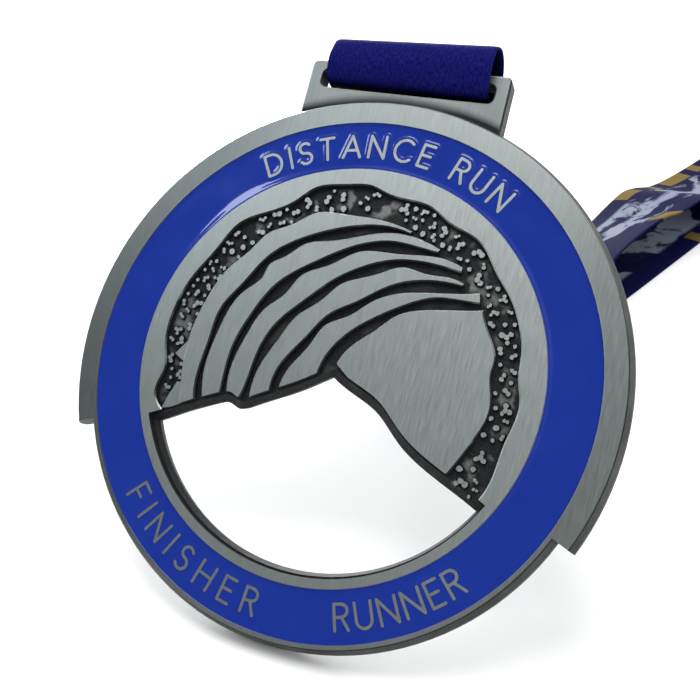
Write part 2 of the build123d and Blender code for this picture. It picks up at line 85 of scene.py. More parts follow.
# ---- node materials ----------------------------------------------------------------------
class Look:
    """A node material that is put together one node at a time."""

    def __init__(self, name):
        self.material = bpy.data.materials.new(name)
        self.material.use_nodes = True
        self.nodes = self.material.node_tree.nodes
        self.links = self.material.node_tree.links
        self.shader = self.nodes["Principled BSDF"]

    def put(self, socket, value):
        if isinstance(value, bpy.types.NodeSocket):
            self.links.new(value, socket)
        else:
            socket.default_value = value

    def node(self, kind, inputs, settings=None, output=0):
        made = self.nodes.new("ShaderNode" + kind)
        for key, value in (settings or {}).items():
            setattr(made, key, value)
        for key, value in inputs.items():
            self.put(made.inputs[key], value)
        return made.outputs[output]

    def surface(self, **values):
        for key, value in values.items():
            self.put(self.shader.inputs[key.replace("_", " ")], value)

    def math(self, operation, *values):
        return self.node("Math", dict(enumerate(values)), {"operation": operation})

    def product(self, first, *others):
        for value in others:
            first = self.math("MULTIPLY", first, value)
        return first

    def total(self, first, *others):
        for value in others:
            first = self.math("ADD", first, value)
        return first

    def parts(self, vector):
        made = self.nodes.new("ShaderNodeSeparateXYZ")
        self.put(made.inputs[0], vector)
        return tuple(made.outputs)

    def step(self, value, low, high):
        """0 below low, 1 above high, smooth between. low may be above high."""
        inputs = {"Value": value, "From Min": low, "From Max": high}
        return self.node("MapRange", inputs, {"interpolation_type": "SMOOTHSTEP"})

    def mix(self, share, first, second, blend="MIX"):
        settings = {"data_type": "RGBA", "blend_type": blend}
        return self.node("Mix", {0: share, 6: first, 7: second}, settings, 2)

    def noise(self, vector, scale, detail=2.0, roughness=0.5, distortion=0.0):
        inputs = {"Vector": vector, "Scale": scale, "Detail": detail, "Roughness": roughness}
        inputs["Distortion"] = distortion
        return self.node("TexNoise", inputs, output="Fac")

    def stretched(self, vector, scale):
        return self.node("VectorMath", {0: vector, 1: scale}, {"operation": "MULTIPLY"})

    def along(self, vector, direction):
        inputs = {0: vector, 1: direction}
        return self.node("VectorMath", inputs, {"operation": "DOT_PRODUCT"}, "Value")

    def open_share(self, distance):
        """1 in the open, less in a corner. distance is how far off a wall still counts."""
        return self.node("AmbientOcclusion", {"Distance": distance * MM}, {"samples": 8}, "AO")

    def grey(self, value):
        return self.node("CombineColor", {0: value, 1: value, 2: value})

    def bump(self, height, distance, normal=None):
        inputs = {"Height": height, "Distance": distance * MM, "Strength": 1.0}
        if normal is not None:
            inputs["Normal"] = normal
        return self.node("Bump", inputs)


def medal_coordinates(look):
    """Position in the medal frame in millimetres, and how far the surface faces front and up left."""
    inverse = MEDAL.inverted()
    inputs = {
        "Vector": look.node("TexCoord", {}, output="Object"),
        "Scale": (1 / MM,) * 3,
        "Rotation": inverse.to_euler(),
        "Location": inverse.translation / MM,
    }
    place = look.node("Mapping", inputs)
    normal = look.node("TexCoord", {}, output="Normal")
    return place, look.along(normal, MEDAL_NORMAL), look.along(normal, PAINTED_LIGHT_SIDE)


NICKEL_METAL = (0.335, 0.370, 0.362, 1)
# painted highlight colour for bevels that face up left
NICKEL_PAINTED_HIGHLIGHT = (0.84, 0.87, 0.86, 1)
PATINA = (0.010, 0.011, 0.012, 1)
PATINA_RUBBED = (0.170, 0.178, 0.174, 1)
PATINA_SPECKLE = (0.05, 0.052, 0.052, 1)
SIDE_WALL = ((0.020, 0.022, 0.022, 1), (0.046, 0.049, 0.048, 1))
SIDE_WALL_FROM = 37.4
# painted light and shade on the nickel, by region of the face
CENTRE_PAINTED_LIGHT = 0.28
LETTERS_BRIGHTER = 0.10
RIGHT_RIM_PAINTED_SHADE = 0.24
LEFT_RIM_PAINTED_SHADE = 0.38
TAB_PAINTED_SHADE = 0.93            # painted shade where the tab meets the rim, partly patina in that corner
TAB_RIGHT_PAINTED_SHADE = 0.19      # and this much more painted shade on its right half
TAB_PAINTED_SHADE_FADES = 0.72         # the painted shade lessens by this much towards its outer edge
DARKEST = 0.05


def brushed_lines(look, place):
    """Fine and long lines up and down the medal."""
    fine = look.noise(look.stretched(place, (5.2, 0.30, 1.0)), 1.0, 3.0, 0.6)
    long = look.noise(look.stretched(place, (1.9, 0.05, 0.5)), 1.0, 2.0, 0.55)
    return fine, long


def painted_zone_light_and_shade(look, x, y, radius):
    """Painted light and shade by region of the face: a lighter centre (painted light), letters a
    little lighter, and painted shade on the tab and on the rim's right and left sides.
    """
    centre = look.product(look.step(radius, 30.0, 29.6), CENTRE_PAINTED_LIGHT)
    letters = look.product(look.step(radius, 29.9, 30.2), look.step(radius, 36.9, 36.6))
    tab = look.product(look.step(radius, TAB_FROM, TAB_FROM + 0.3), look.step(y, 30.0, 32.0))
    tab_right = look.product(look.step(x, 4.0, 13.0), TAB_RIGHT_PAINTED_SHADE)
    tab_outer = look.product(look.step(radius, TAB_FROM + 0.3, TAB_FROM + 2.3), -TAB_PAINTED_SHADE_FADES)
    tab_shade = look.total(tab_right, TAB_PAINTED_SHADE, tab_outer)
    rim = look.step(radius, ENAMEL_OUTER - 0.1, ENAMEL_OUTER + 0.2)
    zone = look.total(
        centre,
        1.0,
        look.product(letters, LETTERS_BRIGHTER),
        look.product(tab, tab_shade, -1.0),
        look.product(look.step(x, 22.0, 36.0), rim, -RIGHT_RIM_PAINTED_SHADE),
        look.product(look.step(x, -8.0, -28.0), rim, -LEFT_RIM_PAINTED_SHADE),
    )
    return look.math("MAXIMUM", zone, DARKEST)


def patina(look, place, facing, in_border):
    """Dark in the recesses, thinner in patches on the open parts of their floors."""
    patches = look.noise(place, 0.33, 2.0, 0.5)
    rubbed = look.product(
        look.step(look.open_share(1.1), 0.60, 0.95),
        look.step(patches, 0.50, 0.64),
        look.step(facing, 0.5, 0.9),
        look.total(look.product(in_border, 0.85), 0.15),
    )
    speckle = look.step(look.noise(place, 5.5, 2.0, 0.6), 0.45, 0.75)
    recess = look.mix(rubbed, PATINA, PATINA_RUBBED)
    return look.mix(look.product(speckle, 0.5), recess, PATINA_SPECKLE)


def nickel_look():
    look = Look("antique_nickel")
    place, facing, toward_painted_light = medal_coordinates(look)
    x, y, z = look.parts(place)
    radius = look.math("SQRT", look.total(look.product(x, x), look.product(y, y)))

    # where the polish has reached: raised tops, the tab's face, tops of nuggets, the back
    raised = look.step(z, -0.66, -0.30)
    tab_face = look.product(look.step(radius, 39.9, 40.6), look.step(z, -0.80, -0.66))
    in_border = look.product(
        look.step(radius, BORDER_INNER, BORDER_INNER + 0.6),
        look.step(radius, BORDER_OUTER, BORDER_OUTER - 0.6),
    )
    nuggets = look.product(look.step(z, -0.80, -0.52), in_border)
    front = look.math("MAXIMUM", look.math("MAXIMUM", raised, tab_face), nuggets)
    # walls and the bevels turned away from the up-left side keep the dark colour; on those bevels this
    # is painted shade
    edge_toward_painted_light = look.total(facing, look.product(toward_painted_light, 0.5))
    polish_minus_painted_shade = look.product(front, look.step(edge_toward_painted_light, 0.50, 0.86))
    polish_minus_painted_shade = look.math("MAXIMUM", polish_minus_painted_shade, look.step(facing, -0.5, -0.9))

    fine, long = brushed_lines(look, place)
    cloud = look.noise(place, 0.16, 3.0, 0.55)
    grain = look.noise(place, 3.4, 3.0, 0.6)
    tone = look.total(
        look.product(fine, 0.26),
        look.product(long, 0.16),
        look.product(cloud, 0.14),
        look.product(grain, 0.10),
        0.67,
    )
    # the brushed tone times the painted light and shade of each region
    tone = look.product(tone, painted_zone_light_and_shade(look, x, y, radius))
    metal = look.mix(1.0, NICKEL_METAL, look.grey(tone), "MULTIPLY")
    # painted highlight: bevels of the polished parts that face up left get the bright colour
    painted_edge_highlight = look.product(
        look.step(toward_painted_light, 0.30, 0.55),
        look.step(facing, 0.25, 0.5),
        look.step(facing, 0.92, 0.82),
        front,
    )
    metal = look.mix(painted_edge_highlight, metal, NICKEL_PAINTED_HIGHLIGHT)

    across = look.step(look.math("ABSOLUTE", facing), 0.8, 0.5)
    outside = look.product(look.step(radius, SIDE_WALL_FROM, SIDE_WALL_FROM + 0.3), across)
    side_wall = look.mix(look.step(cloud, 0.35, 0.7), *SIDE_WALL)
    dark = look.mix(outside, patina(look, place, facing, in_border), side_wall)

    unpolished = look.math("SUBTRACT", 1.0, polish_minus_painted_shade)
    rough = look.product(look.noise(place, 2.6, 3.0, 0.65), unpolished)
    brushed = look.bump(look.total(fine, long), 0.012)
    look.surface(
        Base_Color=look.mix(polish_minus_painted_shade, dark, metal),
        Metallic=look.total(look.product(polish_minus_painted_shade, 0.45), 0.55),
        Specular_IOR_Level=0.25,
        Roughness=look.total(look.product(fine, 0.16), 0.42, look.product(polish_minus_painted_shade, -0.10)),
        Normal=look.bump(rough, 0.12, brushed),
    )
    return look.material


ENAMEL_BLUES = ((0.005, 0.018, 0.195, 1), (0.008, 0.030, 0.250, 1))


def enamel_look():
    look = Look("blue_enamel")
    place = medal_coordinates(look)[0]
    cloud = look.noise(place, 0.11, 2.0, 0.5)
    depth = look.noise(place, 1.7, 3.0, 0.5)
    share = look.total(look.product(cloud, 0.8), look.product(depth, 0.2))
    look.surface(
        Base_Color=look.mix(share, *ENAMEL_BLUES),
        Roughness=0.16,
        IOR=1.5,
        Specular_IOR_Level=0.12,
        Coat_Weight=1.0,
        Coat_Roughness=0.03,
        Normal=look.bump(look.noise(place, 0.9, 2.0, 0.5), 0.006),
    )
    return look.material


PRINT_START = 62.0           # plain ribbon up to here, along the strip from the bar
PRINT_END = 838.0
PRINT_BLUR = 0.3
SQUARE = 4.8
SQUARES_FROM = 8.1           # from the ribbon's middle
SQUARES_LEFT_OUT = 0.72
RIB_PITCH, PICK_PITCH = 0.36, 0.45
CLOTH = ((0.0022, 0.0028, 0.050, 1), (0.0090, 0.0110, 0.128, 1))
# near-black painted shade for the cloth in corners and by the tab's slot
CLOTH_PAINTED_SHADE = (0.0004, 0.0004, 0.006, 1)
INK = ((0.0018, 0.0020, 0.018, 1), (0.0042, 0.0048, 0.042, 1))
GOLD = ((0.090, 0.060, 0.016, 1), (0.150, 0.102, 0.032, 1))
PALE = ((0.130, 0.148, 0.200, 1), (0.190, 0.212, 0.270, 1))


def ribbon_print(look, cloth, uv, shade):
    """Dark ink with gold squares along both edges and pale brush strokes down the middle."""
    along, across, _ = look.parts(uv)
    inside = look.product(
        look.step(along, PRINT_START, PRINT_START + PRINT_BLUR),
        look.step(along, PRINT_END + PRINT_BLUR, PRINT_END),
    )
    offset = look.math("ABSOLUTE", across)

    column = look.math("FLOOR", look.math("DIVIDE", along, SQUARE))
    from_first = look.math("SUBTRACT", offset, SQUARES_FROM)
    row = look.math("FLOOR", look.math("DIVIDE", from_first, SQUARE))
    cell = look.node("CombineXYZ", {0: column, 1: row, 2: look.math("SIGN", across)})
    chance = look.node("TexWhiteNoise", {"Vector": cell}, {"noise_dimensions": "3D"}, "Value")
    squares = look.product(
        look.math("GREATER_THAN", chance, SQUARES_LEFT_OUT),
        look.step(offset, SQUARES_FROM, SQUARES_FROM + 0.05),
        inside,
    )

    noise = look.noise(look.stretched(uv, (0.075, 0.14, 1.0)), 1.0, 3.0, 0.55, 0.8)
    strokes = look.product(look.step(noise, 0.48, 0.57), look.step(offset, 8.0, 6.6), inside)

    cloth = look.mix(inside, cloth, look.mix(shade, *INK))
    cloth = look.mix(squares, cloth, look.mix(shade, *GOLD))
    return look.mix(strokes, cloth, look.mix(shade, *PALE))


def ribbon_look(printed):
    """Satin-woven navy polyester, with or without its print."""
    look = Look("navy_ribbon" if printed else "navy_thread")
    uv = look.node("TexCoord", {}, output="UV")
    along, across, _ = look.parts(uv)

    threads = look.noise(look.stretched(uv, (1.6, 4.6, 1.0)), 1.0, 2.0, 0.6)
    ribs = look.math("SINE", look.product(across, 2 * math.pi / RIB_PITCH))
    picks = look.math("SINE", look.product(along, 2 * math.pi / PICK_PITCH))
    weave = look.total(look.product(ribs, 0.16), look.product(picks, 0.12), look.product(threads, 2.4))
    shade = look.step(threads, 0.30, 0.72)
    # painted shade: the cloth darkens towards near black where other surfaces are close
    lit = look.step(look.open_share(9.0), 0.30, 1.00)
    cloth = look.mix(lit, CLOTH_PAINTED_SHADE, look.mix(shade, *CLOTH))
    if printed:
        cloth = ribbon_print(look, cloth, uv, shade)
    look.surface(
        Base_Color=cloth,
        Roughness=0.55,
        Specular_IOR_Level=0.01,
        Normal=look.bump(weave, 0.040),
    )
    return look.material


def paint(piece, material):
    piece.data.materials.clear()
    piece.data.materials.append(material)


NICKEL = nickel_look()
ENAMEL = enamel_look()
RIBBON = ribbon_look(True)
THREAD = ribbon_look(False)

for node, material in (
    ("medal_casting", NICKEL),
    ("enamel_ring", ENAMEL),
    ("enamel_letter_counters", ENAMEL),
    ("neck_ribbon_loop", RIBBON),
    ("neck_ribbon_strands", RIBBON),
    ("neck_ribbon_folded_end", RIBBON),
    ("ribbon_stitching", THREAD),
):
    paint(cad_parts[node], material)


def mesh_piece(name, points, faces, material, body):
    mesh = bpy.data.meshes.new(name)
    mesh.from_pydata([tuple(p) for p in points], [], [tuple(f) for f in faces])
    mesh.validate()
    mesh.update()
    mesh.shade_smooth()
    piece = bpy.data.objects.new(name, mesh)
    scene.collection.objects.link(piece)
    mesh.materials.append(material)
    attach(piece, body)
    return piece


def grid_faces(rows, columns, start=0, wrap=False):
    """Quads over a grid of points stored row after row. wrap joins the last row to the first."""
    quads = []
    for i in range(rows if wrap else rows - 1):
        here = start + i * columns
        there = start + ((i + 1) % rows) * columns
        quads += [(here + j, here + j + 1, there + j + 1, there + j) for j in range(columns - 1)]
    return quads


# ---- enamel ------------------------------------------------------------------------------
def arc_points(cx, cy, rx, ry, start, end, count):
    """Points on part of an ellipse, from one angle in degrees to another."""
    angles = [math.radians(start + (end - start) * i / count) for i in range(count + 1)]
    return [(cx + rx * math.cos(a), cy + ry * math.sin(a)) for a in angles]


# The letters' advance widths and pen strokes, in units of their height, as the casting has them.
GLYPHS = {
    "A": (0.78, [[(0, 0), (0.39, 1), (0.78, 0)], [(0.15, 0.33), (0.63, 0.33)]]),
    "C": (0.80, [arc_points(0.48, 0.5, 0.46, 0.5, 48, 312, 12)]),
    "D": (0.72, [[(0, 0), (0, 1)] + arc_points(0.27, 0.5, 0.45, 0.5, 90, -90, 9) + [(0, 0)]]),
    "E": (0.50, [[(0.5, 1), (0, 1), (0, 0), (0.5, 0)], [(0, 0.52), (0.44, 0.52)]]),
    "F": (0.50, [[(0.5, 1), (0, 1), (0, 0)], [(0, 0.5), (0.42, 0.5)]]),
    "H": (0.68, [[(0, 0), (0, 1)], [(0.68, 0), (0.68, 1)], [(0, 0.52), (0.68, 0.52)]]),
    "I": (0.02, [[(0.01, 0), (0.01, 1)]]),
    "N": (0.70, [[(0, 0), (0, 1), (0.7, 0), (0.7, 1)]]),
    "R": (0.56, [
        [(0, 0), (0, 1)] + arc_points(0.27, 0.75, 0.27, 0.25, 90, -90, 7) + [(0, 0.5)],
        [(0.29, 0.5), (0.56, 0)],
    ]),
    "S": (0.54, [
        arc_points(0.27, 0.755, 0.25, 0.245, 35, 270, 8)
        + arc_points(0.27, 0.26, 0.27, 0.26, 80, -148, 8),
    ]),
    "T": (0.64, [[(0, 1), (0.64, 1)], [(0.32, 1), (0.32, 0)]]),
    "U": (0.64, [[(0, 1)] + arc_points(0.32, 0.33, 0.32, 0.33, 180, 360, 8) + [(0.64, 1)]]),
    " ": (0.30, []),
}
# Words, height of the letters, radius of their baseline, and the angles where they start and end.
TEXTS = [
    ("DISTANCE RUN", 3.3, 31.65, 123.5, 56.5),
    ("FINISHER", 3.4, 35.1, 223.5, 267.0),
    ("RUNNER", 3.4, 35.1, 286.5, 317.0),
]


def letter_segments():
    """Every straight piece of every letter stroke, as rows of x0, y0, x1, y1 in the medal frame."""
    rows = []
    for text, height, base_radius, start, end in TEXTS:
        widths = [GLYPHS[c][0] * height for c in text]
        over_top = start > end
        middle = base_radius + (height / 2 if over_top else -height / 2)
        gap = (math.radians(abs(end - start)) * middle - sum(widths)) / (len(text) - 1)
        travelled = 0.0
        for letter, width in zip(text, widths):
            turned = math.degrees((travelled + width / 2) / middle)
            travelled += width + gap
            angle = math.radians(start - turned - 90 if over_top else start + turned + 90)
            base = base_radius if over_top else -base_radius
            cos, sin = math.cos(angle), math.sin(angle)
            for stroke in GLYPHS[letter][1]:
                local = [(px * height - width / 2, py * height + base) for px, py in stroke]
                world = [(cos * px - sin * py, sin * px + cos * py) for px, py in local]
                rows += [(*a, *b) for a, b in zip(world, world[1:])]
    return np.array(rows)


def distance_to_segments(points, segments):
    nearest = np.full(len(points), 1e9)
    for x0, y0, x1, y1 in segments:
        along = np.array([x1 - x0, y1 - y0])
        length = max(along @ along, 1e-9)
        share = np.clip(((points - (x0, y0)) @ along) / length, 0, 1)
        foot = np.array([x0, y0]) + share[:, None] * along
        nearest = np.minimum(nearest, np.hypot(*(points - foot).T))
    return nearest


def smoothstep(value, low, high):
    t = np.clip((value - low) / (high - low), 0, 1)
    return t * t * (3 - 2 * t)


ENAMEL_RINGS, ENAMEL_SPOKES = 64, 1300
ENAMEL_TOP, ENAMEL_BOTTOM = -0.24, -0.89
WALL_CLIMB = 0.06            # the filling climbs this far up the rims
WALL_REACH = 0.40            # and begins to climb about this far from them
WIDE_CLIMB_AT = math.radians(133)       # where it climbs the inner rim higher and from further off
WIDE_CLIMB_SPAN = math.radians(17)
WIDE_CLIMB = 0.09
WIDE_CLIMB_REACH = 0.45
INNER_LEDGE = 0.13           # level for this far from the inner rim
LETTER_CLIMB = 0.045         # it also stands this much higher round the letters
LETTER_LIP = (0.42, 0.82)
WAVES_FROM = (0.8, 2.5)      # the slow waves grow over this distance from the letters
WAVES_ACROSS = 0.75
UNEVEN = [(9, 0.030, 0.4), (17, 0.018, 1.9), (31, 0.008, 3.1)]     # waves round the ring


def make_enamel():
    """The filled channel: level, with a rise towards each letter and each rim."""
    radii = np.linspace(ENAMEL_INNER, ENAMEL_OUTER, ENAMEL_RINGS)
    angles = np.arange(ENAMEL_SPOKES) * 2 * math.pi / ENAMEL_SPOKES
    a, r = np.meshgrid(angles, radii, indexing="ij")
    flat = np.stack([(r * np.cos(a)).ravel(), (r * np.sin(a)).ravel()], axis=1)
    reach = distance_to_segments(flat, letter_segments())
    turn, radius = a.ravel(), r.ravel()
    level = np.full(len(flat), ENAMEL_TOP)
    wide = np.exp(-(((turn - WIDE_CLIMB_AT) / WIDE_CLIMB_SPAN) ** 2))
    inner_reach = WALL_REACH + WIDE_CLIMB_REACH * wide
    from_inner = np.maximum(radius - ENAMEL_INNER - INNER_LEDGE, 0)
    level += (WALL_CLIMB + WIDE_CLIMB * wide) * np.exp(-((from_inner / inner_reach) ** 2))
    level += WALL_CLIMB * np.exp(-(((ENAMEL_OUTER - radius) / WALL_REACH) ** 2))
    level += LETTER_CLIMB * (1 - smoothstep(reach, *LETTER_LIP))
    calm = smoothstep(reach, *WAVES_FROM)
    for waves, rise, shift in UNEVEN:
        across = np.sin((radius - ENAMEL_INNER) * WAVES_ACROSS + shift * 2)
        level += calm * rise * np.sin(waves * turn + shift) * across
    top = np.column_stack([flat, level])
    floor = np.full(ENAMEL_SPOKES, ENAMEL_BOTTOM)
    inner = np.column_stack([flat[::ENAMEL_RINGS], floor])
    outer = np.column_stack([flat[ENAMEL_RINGS - 1::ENAMEL_RINGS], floor])
    points = np.concatenate([top, inner, outer])
    faces = [f[::-1] for f in grid_faces(ENAMEL_SPOKES, ENAMEL_RINGS, 0, True)]
    first_inner = len(top)
    first_outer = first_inner + ENAMEL_SPOKES
    for i in range(ENAMEL_SPOKES):
        j = (i + 1) % ENAMEL_SPOKES
        a0, b0 = i * ENAMEL_RINGS, j * ENAMEL_RINGS
        a1, b1 = a0 + ENAMEL_RINGS - 1, b0 + ENAMEL_RINGS - 1
        faces.append((a0, b0, first_inner + j, first_inner + i))
        faces.append((b1, a1, first_outer + i, first_outer + j))
        faces.append((first_inner + i, first_inner + j, first_outer + j, first_outer + i))
    world = [MEDAL @ Vector(p * MM) for p in points]
    piece = mesh_piece("enamel_filling", world, faces, ENAMEL, "medal")
    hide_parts("enamel_ring", "enamel_letter_counters")


make_enamel()


# ---- ribbon ------------------------------------------------------------------------------
RIBBON_WIDTH = 25.0
RIBBON_LENGTH = 900.0
RIBBON_THICKNESS = 0.5
RIBBON_X = -0.5
LAYER = 0.30                # each layer's middle lies this far from the middle of the pair
BAR = (45.55, -2.05)        # the lug's upper bar, y and z in the medal frame
SEAM_ANGLE = 205.0
SEAM_START, SEAM_END = 6.4, 15.0
# The loop's middle line round the bar: angle in degrees, distance from the bar's axis.
LOOP = [
    (150, 4.9), (120, 4.9), (90, 4.9), (60, 4.5), (30, 3.5), (0, 2.95),
    (-45, 2.9), (-90, 2.75), (-120, 2.95), (-140, 3.8),
]
LOOP_SKEW = 0.045           # over the bar the loop's right edge stands this much higher
HEADING = math.radians(17)
AHEAD = np.array([math.sin(HEADING), math.cos(HEADING), 0.0])
LEFTWARD = np.array([-math.cos(HEADING), math.sin(HEADING), 0.0])
UP = np.array([0.0, 0.0, 1.0])
SIDE = np.array([1.0, 0.0, 0.0])
FLOOR_START = np.array([5.6, 92.0, 0.55])
DROP_PULL, LANDING_PULL = 36.0, 16.0
DROP_ROWS = 66
FLOOR_RUN = 150.0
LOWEST_LAYER = 0.27         # middle of the cloth that lies on the ground
FOLD_PITCH = 0.62
FOLD_FAR_GAP = 3.0          # the outer turns stand back this far from the end of the folds
FOLD_NEAR = 5.0             # the inner turns lie this far from their start
NECK_GAP = 6.0              # the strip's own fold stands back this far from the outer turns


def about_bar(angle, radius):
    """A point on the ribbon's middle line, given by its angle and distance from the bar's axis."""
    a = math.radians(angle)
    point = Vector((0, BAR[0] + radius * math.sin(a), BAR[1] + radius * math.cos(a)))
    placed = MEDAL @ (point * MM) / MM
    return np.array([RIBBON_X, placed.y, placed.z])


LUG_UP = about_bar(90, 1.0) - about_bar(90, 0.0)
SEAM_DOWN = about_bar(SEAM_ANGLE, 10.0) - about_bar(SEAM_ANGLE, 0.0)
SEAM_DOWN /= np.linalg.norm(SEAM_DOWN)
SEAM_OUT = np.cross(SIDE, SEAM_DOWN)


def smooth_curve(points, spacing):
    """A Catmull-Rom curve through points, at an even spacing."""
    p = np.array(points, float)
    p = np.vstack([2 * p[0] - p[1], p, 2 * p[-1] - p[-2]])
    fine = []
    for a, b, c, d in zip(p, p[1:], p[2:], p[3:]):
        bend, twist = 2 * a - 5 * b + 4 * c - d, 3 * b - a - 3 * c + d
        for t in np.linspace(0, 1, 24, endpoint=False):
            fine.append(0.5 * (2 * b + (c - a) * t + bend * t * t + twist * t ** 3))
    fine.append(p[-2])
    fine = np.array(fine)
    run = np.concatenate([[0], np.cumsum(np.linalg.norm(np.diff(fine, axis=0), axis=1))])
    count = max(2, int(round(run[-1] / spacing)) + 1)
    even = np.linspace(0, run[-1], count)
    return np.column_stack([np.interp(even, run, fine[:, k]) for k in range(fine.shape[1])])


def drop(layer):
    """Down from the seam to the ground: rows of middle line, width direction."""
    start = about_bar(SEAM_ANGLE, SEAM_END) + SEAM_OUT * layer
    end = FLOOR_START + UP * layer
    pulls = [start, start + SEAM_DOWN * DROP_PULL, end - AHEAD * LANDING_PULL, end]
    rows = []
    for t in np.linspace(0, 1, DROP_ROWS):
        weights = ((1 - t) ** 3, 3 * t * (1 - t) ** 2, 3 * t * t * (1 - t), t ** 3)
        turn = HEADING * t * t * (3 - 2 * t)
        wide = np.array([math.cos(turn), -math.sin(turn), 0.0])
        rows.append(np.concatenate([sum(w * p for w, p in zip(weights, pulls)), wide]))
    return np.array(rows)


# The upper strand stands off the lower one: distance along the ground run, tilt of the strand
# about its left edge in degrees, and height of that edge above the ground.
UPPER_STRAND = [
    (0, 0, 0.85), (14, 10, 0.85), (31, 23, 0.9), (44, 26.5, 1.0), (58, 26, 1.5), (66, 21, 2.8),
    (75, 16.5, 4.8), (82, 12, 5.8), (90, 8, 4.6), (99, 5, 2.4), (110, 2, 1.3), (125, 0, 0.9),
    (150, 0, 0.85),
]


def ground_run(upper, spacing=1.5):
    """Along the ground from the landing to the folds. The upper strand stands off the lower one."""
    rows = []
    knots = smooth_curve(UPPER_STRAND, spacing)
    for along in np.arange(0, FLOOR_RUN + 0.01, spacing):
        middle = FLOOR_START + AHEAD * along
        if not upper:
            middle[2] = LOWEST_LAYER
            rows.append(np.concatenate([middle, -LEFTWARD]))
            continue
        tilt = math.radians(np.interp(along, knots[:, 0], knots[:, 1]))
        lift = np.interp(along, knots[:, 0], knots[:, 2])
        wide = -LEFTWARD * math.cos(tilt) + UP * math.sin(tilt)
        left = middle + LEFTWARD * RIBBON_WIDTH / 2
        left[2] = lift
        rows.append(np.concatenate([left + wide * RIBBON_WIDTH / 2, wide]))
    return np.array(rows)


def fold_height(layer):
    return LOWEST_LAYER + FOLD_PITCH * layer


def folded_run(upper, fold_length):
    """Three runs to and fro on the ground beyond the flat run, in profile: distance, height."""
    def turn(at, low, high, outward):
        middle, reach = (low + high) / 2, (high - low) / 2
        angles = np.radians(np.linspace(-90, 90, 9))
        return [(at + outward * reach * math.cos(a), middle + reach * math.sin(a)) for a in angles]

    first, second, third = [fold_height(i) for i in ((1, 2, 5) if upper else (0, 3, 4))]
    far, halfway = fold_length - FOLD_FAR_GAP, fold_length * 0.5
    profile = [(0.0, first), (halfway, first)]
    profile += turn(far, first, second, 1) + [(halfway, second)]
    profile += turn(FOLD_NEAR, second, third, -1) + [(halfway, third), (far - NECK_GAP, third)]
    return np.array(profile)


def fold_rows(upper, fold_length, spacing=2.0):
    profile = folded_run(upper, fold_length)
    rows = []
    for a, b in zip(profile, profile[1:]):
        steps = max(1, int(np.linalg.norm(b - a) / spacing))
        for t in np.linspace(0, 1, steps, endpoint=False):
            distance, height = a + (b - a) * t
            middle = FLOOR_START + AHEAD * (FLOOR_RUN + distance)
            middle[2] = height
            rows.append(np.concatenate([middle, -LEFTWARD]))
    return np.array(rows[1:])


def neck_turn(fold_length):
    """The strip's own fold, where the upper strand turns back into the lower one."""
    low, high = fold_height(4), fold_height(5)
    rows = []
    for a in np.radians(np.linspace(90, -90, 9)):
        distance = fold_length - FOLD_FAR_GAP - NECK_GAP + (high - low) / 2 * math.cos(a)
        middle = FLOOR_START + AHEAD * (FLOOR_RUN + distance)
        middle[2] = (low + high) / 2 + (high - low) / 2 * math.sin(a)
        rows.append(np.concatenate([middle, -LEFTWARD]))
    return np.array(rows)


def seam_rows(layer, start, end, spacing=0.7):
    rows = []
    for distance in np.linspace(start, end, max(2, int(abs(end - start) / spacing))):
        middle = about_bar(SEAM_ANGLE, distance) + SEAM_OUT * layer
        rows.append(np.concatenate([middle, SIDE]))
    return np.array(rows)


def loop_rows():
    """From the seam's front layer round the bar to its back layer."""
    front = about_bar(SEAM_ANGLE, SEAM_START) - SEAM_OUT * LAYER
    back = about_bar(SEAM_ANGLE, SEAM_START) + SEAM_OUT * LAYER
    points = [front] + [about_bar(angle, radius) for angle, radius in LOOP[::-1]] + [back]
    middle = smooth_curve(points, 0.35)
    out = middle - about_bar(0, 0)
    share = smoothstep(out @ LUG_UP, -1.0, 3.5) * smoothstep(-(out @ SEAM_DOWN), -4.0, 1.0)
    out /= np.linalg.norm(out, axis=1)[:, None]
    return np.column_stack([middle, SIDE + out * (LOOP_SKEW * share)[:, None]])


def strip_rows(fold_length):
    """The whole strip, from its front end round the bar, out, back, and up to its other end."""
    return np.vstack([
        seam_rows(-LAYER, SEAM_END - 1.0, SEAM_START + 0.5),
        loop_rows(),
        seam_rows(LAYER, SEAM_START + 0.5, SEAM_END - 0.5),
        drop(LAYER),
        ground_run(True)[1:],
        fold_rows(True, fold_length),
        neck_turn(fold_length),
        fold_rows(False, fold_length)[::-1],
        ground_run(False)[::-1],
        drop(-LAYER)[::-1][1:],
        seam_rows(-3 * LAYER, SEAM_END - 0.5, SEAM_START + 2.0),
    ])


def strip_length(rows):
    return float(np.linalg.norm(np.diff(rows[:, :3], axis=0), axis=1).sum())


def fitted_rows():
    """Chooses the length of the folds so that the strip has its real length."""
    low, high = 30.0, 120.0
    for _ in range(24):
        middle = (low + high) / 2
        if strip_length(strip_rows(middle)) < RIBBON_LENGTH:
            low = middle
        else:
            high = middle
    return strip_rows(low)


# Where the strip's points lie across it, and how much of its thickness it has there.
ACROSS = np.array([-12.5, -12.3, -11.6, -9.0, -6.0, -3.0, 0.0, 3.0, 6.0, 9.0, 11.6, 12.3, 12.5])
EDGE_SHARE = np.array([0.35, 0.85] + [1.0] * 9 + [0.85, 0.35])


